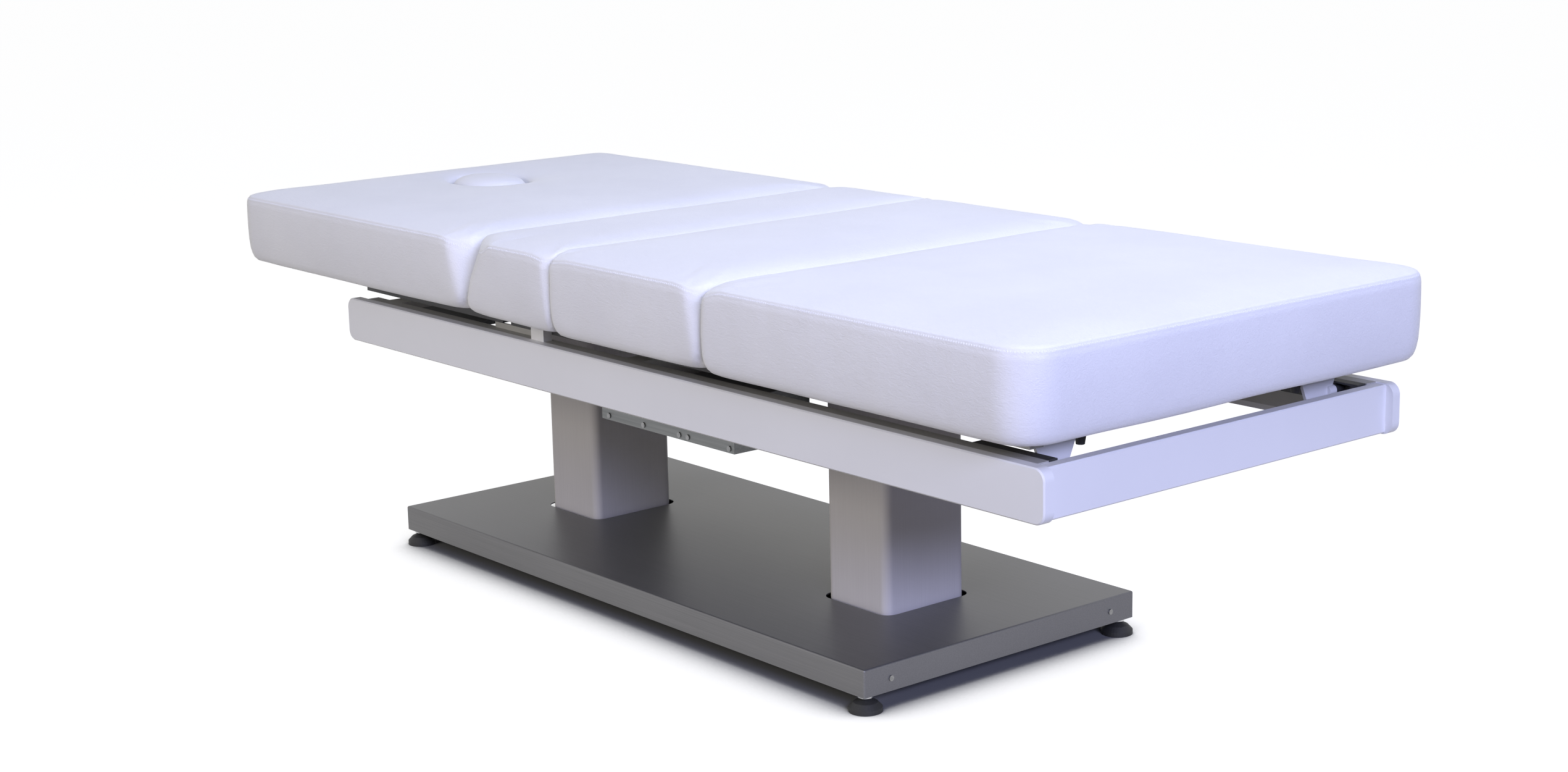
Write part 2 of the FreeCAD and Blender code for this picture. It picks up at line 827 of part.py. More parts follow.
# Control tray
def control_tray():
    top = frame_top - cross_tube_height
    far_y = tray_near_y + tray_depth
    body = box(tray_head_x, tray_foot_x, tray_near_y, far_y, tray_bottom, top)
    hollow = box(tray_head_x + tray_sheet, tray_foot_x - tray_sheet,
                 tray_near_y + tray_sheet, far_y - tray_sheet, tray_bottom + tray_sheet, top + 1)
    body = body.cut(hollow)
    for x in tray_screw_x:
        start = (x, tray_near_y - 1, tray_screw_z)
        body = body.cut(stud(start, (0, 1, 0), screw_shank, tray_sheet + 2, screw_sides))
    return body


def control_unit():
    x0 = tray_head_x + unit_margin
    x1 = tray_foot_x - unit_margin
    y0 = tray_near_y + unit_margin
    y1 = tray_near_y + tray_depth - unit_margin
    z0 = tray_bottom + tray_sheet
    body = rounded_box(x0, x1, y0, y1, z0, z0 + unit_height, unit_corner, (0, 0, 1))
    z = z0 + unit_height
    x = x1 - unit_corner - inlet_length
    y = (y0 + y1) / 2
    inlet = box(x, x + inlet_length, y - inlet_height / 2, y + inlet_height / 2, z - inlet_depth, z + 1)
    return body.cut(inlet)


def save_base():
    save("base_pan", base_pan())
    save("base_end_tubes", [end_tube(-1), end_tube(1)])
    save("base_rails", pair(chassis_rail()))
    save("column_base_plates", [column_plate(x) for x in column_xs])
    save("pan_screws", pan_screws())
    for number, (x, y) in enumerate(foot_places(), 1):
        save("levelling_foot_%d" % number, levelling_foot(x, y))
    for end, x in zip(("head", "foot"), column_xs):
        save("column_outer_" + end, column_stage(x, 0))
        save("column_middle_" + end, column_stage(x, 1))
        save("column_inner_" + end, column_stage(x, 2))
    save("lift_spindles", [spindle(x) for x in column_xs])
    save("lift_drives", [lift_drive(x) for x in column_xs])


def save_frame():
    save("side_panel_far", side_panel())
    save("side_panel_near", mirrored(side_panel()))
    save("end_panel", end_panel())
    save("side_tubes", pair(side_tube()))
    low = frame_top - cross_tube_height
    foot_tube_top = tube_bottom + foot_tube_height
    save("cross_tube_head", cross_tube(head_tube_x, cross_tube_width, low, frame_top))
    save("cross_tube_middle", cross_tube(middle_tube_x, cross_tube_width, low, frame_top))
    save("cross_tube_foot", cross_tube(foot_tube_x, foot_tube_width, tube_bottom, foot_tube_top))
    save("column_head_plates", [head_plate(x) for x in column_xs])
    save("seat_posts", pair(seat_post()))
    save("foot_guides", pair(guide()))
    save("control_tray", control_tray())
    save("control_unit", control_unit())
    screws = [screw(x, tray_near_y, tray_screw_z, (0, 1, 0), tray_screw_length) for x in tray_screw_x]
    save("tray_screws", screws)


def save_sections():
    save("back_cushion", back_cushion())
    save("face_plug", face_plug())
    save("seat_cushion", cushion(back_hinge_x + seat_head_gap, thigh_hinge_x - seam_gap, seat_head_slant, 0))
    save("thigh_cushion", cushion(thigh_hinge_x + seam_gap, knee_hinge_x - thigh_end_gap, 0, thigh_end_slant))
    calf = cushion(knee_hinge_x + calf_end_gap, foot_x, calf_end_slant, 0)
    save("calf_cushion", with_round_end(calf, foot_x, 1, foot_corner))
    save("back_board", back_board())
    save("seat_board", board(back_hinge_x + seat_board_gap, thigh_hinge_x - board_hinge_gap))
    save("thigh_board", board(thigh_hinge_x + board_hinge_gap, knee_hinge_x - board_hinge_gap))
    save("calf_board", board(knee_hinge_x + board_hinge_gap, foot_x - board_margin_end))
    gap = rail_hinge_gap
    save("back_rails", pair(rail(back_rail_head_x, back_hinge_x - gap, (), (back_hinge_x,))))
    save("seat_rails", pair(rail(back_hinge_x + gap, thigh_hinge_x - gap, (back_hinge_x, thigh_hinge_x), ())))
    thigh_rail = rail(thigh_hinge_x + gap, knee_hinge_x - gap, (knee_hinge_x,), (thigh_hinge_x,))
    save("thigh_rails", pair(thigh_rail))
    save("calf_rails", pair(calf_rail()))
    save("back_hinge_pins", pair(hinge_pin(back_hinge_x)))
    save("thigh_hinge_pins", pair(hinge_pin(thigh_hinge_x)))
    save("knee_hinge_pins", pair(hinge_pin(knee_hinge_x)))
    save("back_bar", section_bar(back_hinge_x - section_bar_offset))
    save("thigh_bar", section_bar(thigh_hinge_x + section_bar_offset))
    save("calf_bar", section_bar(glide_x))
    save("calf_brackets", pair(bracket()))
    save("calf_glides", pair(glide()))
    save("calf_buffers", pair(rubber_buffer()))


def save_drives():
    back_z = hinge_z - back_drop
    thigh_z = hinge_z - thigh_drop
    back_pin_x = back_hinge_x + back_stroke_per_degree * back_max / 2
    thigh_pin_x = thigh_hinge_x - thigh_stroke_per_degree * thigh_max / 2
    tube_head_face = middle_tube_x - cross_tube_width / 2
    tube_foot_face = middle_tube_x + cross_tube_width / 2
    front = back_pin_x + fork_throat + fork_block + housing_nose_gap
    bore = front + rod_engaged + housing_nose_gap
    thigh_bore = tube_foot_face + rod_engaged + thigh_stroke_per_degree * thigh_max
    save("back_lever", slotted_lever(back_hinge_x, -1, back_drive_y, back_drop, back_max / 2,
                                     back_slot_slack, section_bar_offset))
    save("thigh_lever", slotted_lever(thigh_hinge_x, 1, thigh_drive_y, thigh_drop, thigh_max / 2,
                                      thigh_slot_slack, section_bar_offset))
    save("back_rod", drive_rod(back_pin_x, back_drive_y, back_z, front + rod_engaged))
    thigh_end = tube_foot_face + rod_engaged - housing_nose_gap
    save("thigh_rod", drive_rod(thigh_pin_x, thigh_drive_y, thigh_z, thigh_end))
    save("back_drive", drive_housing(front, tube_head_face, back_drive_y, back_z,
                                     tube_head_face - flange_thickness, bore))
    rear = tube_foot_face + housing_length + gear_length
    save("thigh_drive", drive_housing(tube_foot_face, rear, thigh_drive_y,
                                      thigh_z, tube_foot_face, thigh_bore))


os.makedirs("parts", exist_ok=True)
save_base()
save_frame()
save_sections()
save_drives()
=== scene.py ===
import math

import bmesh
import bpy
from mathutils import Matrix, Vector, noise


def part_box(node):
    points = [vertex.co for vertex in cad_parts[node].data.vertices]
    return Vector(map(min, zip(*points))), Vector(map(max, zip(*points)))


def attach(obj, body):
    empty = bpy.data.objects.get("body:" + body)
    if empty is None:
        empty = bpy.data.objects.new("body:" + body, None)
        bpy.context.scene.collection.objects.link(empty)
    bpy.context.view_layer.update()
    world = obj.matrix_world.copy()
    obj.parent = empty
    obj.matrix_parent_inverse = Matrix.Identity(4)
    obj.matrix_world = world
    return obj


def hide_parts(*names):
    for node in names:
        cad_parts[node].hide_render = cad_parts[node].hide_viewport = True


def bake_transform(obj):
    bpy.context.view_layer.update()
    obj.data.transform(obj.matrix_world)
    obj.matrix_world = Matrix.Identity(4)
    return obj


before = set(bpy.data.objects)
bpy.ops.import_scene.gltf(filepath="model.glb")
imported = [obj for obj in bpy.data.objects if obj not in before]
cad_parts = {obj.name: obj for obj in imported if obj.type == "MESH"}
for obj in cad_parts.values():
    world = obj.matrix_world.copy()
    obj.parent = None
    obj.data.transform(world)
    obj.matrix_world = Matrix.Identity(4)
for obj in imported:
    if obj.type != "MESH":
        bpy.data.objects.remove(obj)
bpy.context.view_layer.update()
MM = 0.001

# Upholstery sizes in millimetres, in the frame's axes: half width, seam, top and base of the pads
HALF = 407.5
SEAM = 614.0
TOP = 628.6
LOW = 501.0
HEAD_X, FOOT_X = -1007.6, 1007.4
BACK_FOLD, THIGH_FOLD, KNEE_FOLD = -268.0, -20.0, 350.5
FOLD_GAP = 0.3
SEAT_SPLIT, THIGH_SPLIT = -141, 150
# The oval face opening: its middle and half axes
FACE_X, FACE_A, FACE_B = -805.0, 84.0, 64.0

# The ring band of a pad: its width, the part that keeps its true width, and the depth of a path's first row
BAND = 72.0
TRUE_BAND = 24.0
PATH_DEPTH = 110.0
# Steps in half a corner, and the middle row of the seam
HALF_CORNER = 4
SEAM_ROW = 13
# Spacing and height of the stitches
STITCH = 4.6
TICK = 3.2

# Cloth simulation: frames, largest swell in millimetres, and the rows of the band that are held
SIM_FRAMES = 20
SWELL = 6.0
SEAM_HELD = range(9, 17)
FOLD_HELD = range(8, 30)
CLOTH = {
    "quality": 4, "mass": 0.4, "tension_stiffness": 20, "compression_stiffness": 20, "shear_stiffness": 8,
    "bending_stiffness": 1.5, "use_pressure": True, "uniform_pressure_force": 4,
}

# Rings of the well for the plug: share of the way to the oval, distance outside it, height
WELL = [
    (0.35, 30, 628.3), (0.7, 30, 627.6), (1, 28, 626.4), (1, 17, 624.2), (1, 11, 621.6), (1, 6.5, 618.0),
    (1, 3.4, 613.4), (1, 1.8, 609), (1, 1.2, 600), (1, 1.0, 575), (1, 1.0, 540), (1, 1.5, 506), (1, 4, 502),
    (0.6, 20, 501.2),
]
# Rings of the plug: share of the oval, height
PLUG = [
    (0.4, 501.6), (0.94, 501.6), (0.99, 504), (1.0, 512), (1.0, 560), (1.0, 588), (0.995, 599), (0.975, 608.5),
    (0.935, 615), (0.86, 620.5), (0.74, 625), (0.56, 628.4), (0.34, 630.4), (0.12, 631),
]
# Rings of a foot's sleeve: radius, height
SLEEVE = [
    (8.2, 20.6), (11.5, 20.6), (12.0, 21.2), (12.0, 25.6), (11.5, 26.2), (8.6, 26.2), (8.6, 31.5), (8.2, 32),
]
# Folds at the ends of the pads: radius of the roll, depth from the side, opening at the top and at the base,
# power of its growth towards the side, depth of the crease, and how far the seam dips
FOLDS = {
    "back_foot": {"roll": 34, "depth": 48, "high": 26, "low": -18, "bow": 2.0, "crease": 8.0, "dip": 8},
    "seat_head": {"roll": 30, "depth": 48, "high": 64, "low": -1, "bow": 1.25, "crease": 2.0, "dip": 13},
    "seat_foot": {"roll": 17, "depth": 26, "high": 8, "low": -4, "bow": 2.0, "crease": 2.0, "dip": 6},
    "thigh_head": {"roll": 15, "depth": 26, "high": 4, "low": 1, "bow": 1.25, "crease": 0.0, "dip": 5},
    "thigh_foot": {"roll": 34, "depth": 44, "high": 10, "low": -14, "bow": 2.0, "crease": 8.0, "dip": 8},
    "calf_head": {"roll": 32, "depth": 44, "high": 9, "low": 2, "bow": 1.25, "crease": 1.0, "dip": 10},
}

# Lamps in metres: place, target, size, power, colour
LAMPS = {
    "key_above": ((0.7, 0.5, 3.0), (0.2, 0, 0.6), (2.6, 2.4), 58, (0.70, 0.755, 1.0)),
    "foot_side": ((5.2, -1.9, 2.4), (0.7, 0, 0.5), (3.2, 1.0), 262, (0.58, 0.62, 1.0)),
    "near_side": ((-0.2, -4.0, 1.5), (0, 0, 0.4), (3.4, 1.8), 61, (1.0, 0.955, 0.905)),
}
FLOOR_HALF = 30


# Node helpers
def new_material(name):
    material = bpy.data.materials.new(name)
    material.use_nodes = True
    tree = material.node_tree
    tree.nodes.clear()
    out = tree.nodes.new("ShaderNodeOutputMaterial")
    shader = tree.nodes.new("ShaderNodeBsdfPrincipled")
    tree.links.new(shader.outputs["BSDF"], out.inputs["Surface"])
    return material, tree, shader


def place(tree, scale=(1, 1, 1), turn=(0, 0, 0)):
    """Object coordinates, stretched."""
    coords = tree.nodes.new("ShaderNodeTexCoord")
    mapping = tree.nodes.new("ShaderNodeMapping")
    mapping.inputs["Scale"].default_value = scale
    mapping.inputs["Rotation"].default_value = turn
    tree.links.new(coords.outputs["Object"], mapping.inputs["Vector"])
    return mapping.outputs["Vector"]


def grain(tree, where, scale, detail=3.0, rough=0.55, warp=0.0):
    node = tree.nodes.new("ShaderNodeTexNoise")
    node.inputs["Scale"].default_value = scale
    node.inputs["Detail"].default_value = detail
    node.inputs["Roughness"].default_value = rough
    node.inputs["Distortion"].default_value = warp
    tree.links.new(where, node.inputs["Vector"])
    return node.outputs["Fac"]


def cells(tree, where, scale, feature="F1"):
    node = tree.nodes.new("ShaderNodeTexVoronoi")
    node.feature = feature
    node.inputs["Scale"].default_value = scale
    tree.links.new(where, node.inputs["Vector"])
    return node.outputs["Distance"]


def tint(tree, value, low, high, start=0.3, end=0.7):
    ramp = tree.nodes.new("ShaderNodeValToRGB")
    ramp.color_ramp.elements[0].position = start
    ramp.color_ramp.elements[0].color = (*low, 1)
    ramp.color_ramp.elements[1].position = end
    ramp.color_ramp.elements[1].color = (*high, 1)
    tree.links.new(value, ramp.inputs["Fac"])
    return ramp.outputs["Color"]


def spread(tree, value, low, high):
    node = tree.nodes.new("ShaderNodeMapRange")
    node.inputs["To Min"].default_value = low
    node.inputs["To Max"].default_value = high
    tree.links.new(value, node.inputs["Value"])
    return node.outputs["Result"]


def bump(tree, value, strength, distance, below=None):
    node = tree.nodes.new("ShaderNodeBump")
    node.inputs["Strength"].default_value = strength
    node.inputs["Distance"].default_value = distance
    tree.links.new(value, node.inputs["Height"])
    if below is not None:
        tree.links.new(below, node.inputs["Normal"])
    return node.outputs["Normal"]


# Materials
def vinyl():
    material, tree, shader = new_material("white_vinyl")
    where = place(tree)
    cloudy = grain(tree, where, 5.0, 4.0)
    tree.links.new(tint(tree, cloudy, (0.815, 0.815, 0.835), (0.865, 0.865, 0.88)), shader.inputs["Base Color"])
    pores = cells(tree, where, 430.0)
    creases = grain(tree, place(tree, (60, 170, 190), (0.2, 0.1, 0.5)), 1.0, 5.0, 0.65, 1.4)
    hand = grain(tree, where, 22.0, 3.0)
    first = bump(tree, hand, 0.10, 0.004)
    second = bump(tree, creases, 0.5, 0.0014, first)
    tree.links.new(bump(tree, pores, 0.2, 0.0006, second), shader.inputs["Normal"])
    tree.links.new(spread(tree, creases, 0.36, 0.52), shader.inputs["Roughness"])
    shader.inputs["Specular IOR Level"].default_value = 0.42
    shader.inputs["Coat Weight"].default_value = 0.06
    shader.inputs["Coat Roughness"].default_value = 0.35
    return material


def thread():
    material, tree, shader = new_material("white_thread")
    where = place(tree)
    twist = grain(tree, where, 900.0, 2.0)
    tree.links.new(tint(tree, twist, (0.80, 0.80, 0.82), (0.89, 0.89, 0.9)), shader.inputs["Base Color"])
    tree.links.new(bump(tree, twist, 0.3, 0.0003), shader.inputs["Normal"])
    shader.inputs["Roughness"].default_value = 0.6
    return material


def painted(name, low, high, rough, metallic=0.0, peel=0.05):
    material, tree, shader = new_material(name)
    where = place(tree)
    cloudy = grain(tree, where, 3.5, 4.0)
    tree.links.new(tint(tree, cloudy, low, high), shader.inputs["Base Color"])
    skin = grain(tree, where, 620.0, 2.0)
    tree.links.new(bump(tree, skin, peel, 0.0008), shader.inputs["Normal"])
    wear = grain(tree, where, 9.0, 3.0)
    tree.links.new(spread(tree, wear, rough - 0.05, rough + 0.06), shader.inputs["Roughness"])
    shader.inputs["Metallic"].default_value = metallic
    return material


def brushed(name, low, high, rough, stretch, metallic=1.0, shine=0.5):
    """Sheet metal with fine lines; the small number in stretch is the way the lines run."""
    material, tree, shader = new_material(name)
    lines = grain(tree, place(tree, stretch), 1.0, 6.0, 0.7)
    cloudy = grain(tree, place(tree), 2.6, 4.0)
    mix = tree.nodes.new("ShaderNodeMix")
    mix.data_type = "RGBA"
    mix.blend_type = "MULTIPLY"
    mix.inputs["Factor"].default_value = 0.55
    tree.links.new(tint(tree, lines, low, high, 0.36, 0.64), mix.inputs["A"])
    tree.links.new(tint(tree, cloudy, (0.84, 0.84, 0.84), (1, 1, 1)), mix.inputs["B"])
    tree.links.new(mix.outputs["Result"], shader.inputs["Base Color"])
    tree.links.new(spread(tree, lines, rough - 0.07, rough + 0.09), shader.inputs["Roughness"])
    tree.links.new(bump(tree, lines, 0.10, 0.0004), shader.inputs["Normal"])
    shader.inputs["Metallic"].default_value = metallic
    shader.inputs["Specular IOR Level"].default_value = shine
    return material


def moulded(name, low, high, rough, scale):
    material, tree, shader = new_material(name)
    where = place(tree)
    texture = cells(tree, where, scale)
    tree.links.new(tint(tree, grain(tree, where, 14.0), low, high), shader.inputs["Base Color"])
    tree.links.new(bump(tree, texture, 0.12, 0.0006), shader.inputs["Normal"])
    wear = grain(tree, where, 30.0)
    tree.links.new(spread(tree, wear, rough - 0.06, rough + 0.08), shader.inputs["Roughness"])
    return material


def wood(name, low, high, rough):
    material, tree, shader = new_material(name)
    rings = grain(tree, place(tree, (3, 40, 160)), 1.0, 5.0, 0.6, 0.8)
    tree.links.new(tint(tree, rings, low, high), shader.inputs["Base Color"])
    tree.links.new(bump(tree, rings, 0.08, 0.0006), shader.inputs["Normal"])
    tree.links.new(spread(tree, rings, rough - 0.05, rough + 0.08), shader.inputs["Roughness"])
    return material


FINISH = {
    "vinyl": vinyl(),
    "thread": thread(),
    "panel": painted("satin_white_panel", (0.83, 0.83, 0.83), (0.86, 0.86, 0.86), 0.38, 0.0, 0.04),
    "white_metal": painted("white_powder_coat", (0.74, 0.74, 0.75), (0.80, 0.80, 0.81), 0.42),
    "grey_steel": painted("grey_powder_coat", (0.34, 0.335, 0.32), (0.42, 0.412, 0.395), 0.45, 0.1),
    "dark_steel": painted("dark_powder_coat", (0.035, 0.035, 0.038), (0.06, 0.06, 0.064), 0.5),
    "tray": brushed("tray_sheet_steel", (0.15, 0.155, 0.155), (0.20, 0.205, 0.205), 0.42, (3, 220, 260)),
    "stainless": brushed("brushed_pan_steel", (0.155, 0.153, 0.15), (0.19, 0.187, 0.183), 0.4,
                         (4, 520, 560), 0.5),
    "column": brushed("brushed_column_steel", (0.62, 0.595, 0.585), (0.66, 0.635, 0.625), 0.5,
                      (1500, 1500, 5), 0.0, 0.24),
    "screw": brushed("dull_zinc_screws", (0.20, 0.20, 0.20), (0.30, 0.30, 0.30), 0.36, (160, 160, 160)),
    "bright_steel": brushed("bright_zinc", (0.52, 0.52, 0.53), (0.68, 0.68, 0.69), 0.26, (90, 90, 90)),
    "black_plastic": moulded("black_moulded_plastic", (0.018, 0.018, 0.019), (0.035, 0.035, 0.037), 0.5, 700.0),
    "black_rubber": moulded("black_rubber", (0.012, 0.012, 0.012), (0.026, 0.026, 0.026), 0.62, 900.0),
    "plywood": wood("film_faced_plywood", (0.075, 0.057, 0.045), (0.125, 0.095, 0.075), 0.45),
    "white_board": wood("white_lacquered_board", (0.72, 0.72, 0.73), (0.80, 0.80, 0.81), 0.4),
}
# Nodes whose finish isn't that of their slot
BY_NODE = {
    "side_panel_near": "panel", "side_panel_far": "panel", "end_panel": "panel",
    "control_tray": "tray", "base_pan": "stainless", "tray_screws": "screw", "pan_screws": "screw",
}


def finish_frame():
    """Gives every node of the frame its finish."""
    for name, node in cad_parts.items():
        kind = BY_NODE.get(name)
        if name.startswith("column_") and "plate" not in name:
            kind = "column"
        for place_in in node.material_slots:
            slot = place_in.material.name.split(".")[0] if place_in.material else "grey_steel"
            place_in.material = FINISH[kind or slot]


# Mesh helpers
def mesh_object(name, points, faces, material, smooth=True):
    mesh = bpy.data.meshes.new(name)
    mesh.from_pydata([[c * MM for c in p] for p in points], [], faces)
    mesh.update()
    if smooth:
        mesh.polygons.foreach_set("use_smooth", [True] * len(mesh.polygons))
    mesh.materials.append(material)
    piece = bpy.data.objects.new(name, mesh)
    bpy.context.scene.collection.objects.link(piece)
    return piece


def ease(t):
    t = max(0.0, min(1.0, t))
    return t * t * (3 - 2 * t)


# Unevenness of the covers: height, size and seed of each wave
WAVES = {
    "side": (0.8, 95, 3.1), "side_fine": (0.3, 30, 7.7), "top": (0.7, 170, 1.3), "base": (1.6, 160, 5.2),
    "plug": (0.5, 18, 2.2),
}


def wave(name, x, y, z):
    height, size, seed = WAVES[name]
    return height * noise.noise(Vector((x / size + seed, y / size - seed, z / size + 2 * seed)))


def ring_faces(rows, sides, closed=False):
    """Faces between rings of points that all have the same number of sides."""
    faces = []
    for row in range(rows if closed else rows - 1):
        up = (row + 1) % rows
        for k in range(sides):
            n = (k + 1) % sides
            faces.append((row * sides + k, row * sides + n, up * sides + n, up * sides + k))
    return faces


# One side path of a pad, from its top inwards of the seam to its base, as (outward, height)
BOXED = [
    (-110, 628.6), (-84, 628.2), (-62, 627.3), (-44, 625.8), (-30, 623.9), (-20, 622.0), (-13, 620.4),
    (-8.5, 619.2), (-6.4, 618.3), (-4.8, 617.2), (-3.5, 615.9), (-2.5, 614.5),
    (-2.1, 613.4), (-1.0, 611.8), (0.1, 610.3),
    (0.0, 609.1), (1.4, 606.4), (1.9, 600), (2.3, 588), (2.5, 572), (2.4, 556), (1.8, 540), (0.4, 526),
    (-1.8, 516), (-4.6, 508.8), (-9, 503.8), (-15, 501.6), (-24, 501.0),
    (-60, 501), (-110, 501),
]


def valley_path(radius):
    """Path at a fold, with as many rows: the top rolls down to it, then the face goes straight to the base."""
    path = [(-110, TOP), (-84, TOP - 0.2), (-62, TOP - 0.5), (-radius - 10, TOP - 1.0)]
    roll_rows, face_rows, first_turn = 8, 15, 14
    for k in range(roll_rows):
        turn = math.radians(first_turn + (90 - first_turn) * k / (roll_rows - 1))
        path.append((-radius * (1 - math.sin(turn)), TOP - 1.2 - radius * (1 - math.cos(turn))))
    low = path[-1][1]
    for k in range(face_rows):
        path.append((0.0, low + (LOW + 6 - low) * (k + 1) / face_rows))
    path[-1] = (-2.0, LOW + 2.5)
    path.append((-8.0, LOW))
    path += [(-60, LOW), (-110, LOW)]
    return path


def band_share(depth):
    """Share of the way from a pad's edge to its inner rectangle, at a depth along a path."""
    if depth < TRUE_BAND:
        return depth / BAND
    true_share = TRUE_BAND / BAND
    return true_share + (depth - TRUE_BAND) / (PATH_DEPTH - TRUE_BAND) * (1 - true_share)


def open_fold(p, place_at, end, edge, way):
    """Draws point p back from the fold at one end of a pad, near its sides. It was at place_at."""
    least_reach, spread_by, open_power = 75, 1.9, 1.1
    crease_side, crease_lean, crease_width, crease_fade, crease_shift = 0.80, 0.25, 0.11, 1.3, 0.4
    dip_reach, dip_start, dip_range = 30, 545, 70
    lift, lift_range = 3, 40
    x, y, z = place_at
    side = (abs(y) - HALF + end["depth"]) / end["depth"]
    near = 1 - ease(way * (x - edge) / max(least_reach, spread_by * end["high"]))
    if side <= 0 or near <= 0:
        return
    rise = (z - LOW) / (TOP - LOW)
    open_by = end["low"] + (end["high"] - end["low"]) * max(0, min(1, rise)) ** open_power
    p[0] += way * open_by * min(side, 1.05) ** end["bow"] * near
    crease = math.exp(-((side - crease_side + crease_lean * rise) / crease_width) ** 2)
    crease *= (1 - rise) ** crease_fade
    p[1] -= math.copysign(end["crease"] * crease * near, y)
    p[0] += way * crease_shift * end["crease"] * crease * near
    close = math.exp(-(way * (x - edge) / dip_reach) ** 2) * ease(min(side, 1))
    p[2] -= end["dip"] * close * ease((z - dip_start) / dip_range)
    p[2] += lift * close * ease(1 - (z - LOW) / lift_range)
    p[0] = way * max(way * p[0], way * edge)


def outline(x0, x1, r0, r1, step, head, foot):
    """Closed plan of a pad from its near head corner: place, outward direction and share of each fold."""
    points = []
    nx = round((x1 - x0) / step)
    ny = round(2 * HALF / step)

    def share(end, y):
        return ease((HALF - abs(y)) / end["depth"]) if end else 0.0

    def folds(side, y):
        return (share(head, y) if side == "head" else 0, share(foot, y) if side == "foot" else 0)

    def run(a, b, count, direction, side):
        for k in range(1, count):
            t = k / count
            x, y = a[0] + (b[0] - a[0]) * t, a[1] + (b[1] - a[1]) * t
            points.append((x, y, *direction, *folds(side, y)))

    def corner(cx, cy, radius, start, side):
        for k in range(2 * HALF_CORNER + 1):
            turn = math.radians(start + 90 * k / (2 * HALF_CORNER))
            u, v = math.cos(turn), math.sin(turn)
            points.append((cx + radius * u, cy + radius * v, u, v, *folds(side, cy + radius * v)))

    corner(x0 + r0, -HALF + r0, r0, 180, "head")
    run((x0 + r0, -HALF), (x1 - r1, -HALF), nx, (0, -1), "near")
    corner(x1 - r1, -HALF + r1, r1, 270, "foot")
    run((x1, -HALF + r1), (x1, HALF - r1), ny, (1, 0), "foot")
    corner(x1 - r1, HALF - r1, r1, 0, "foot")
    run((x1 - r1, HALF), (x0 + r0, HALF), nx, (0, 1), "far")
    corner(x0 + r0, HALF - r0, r0, 90, "head")
    run((x0, HALF - r0), (x0, -HALF + r0), ny, (-1, 0), "head")
    return points, nx, ny


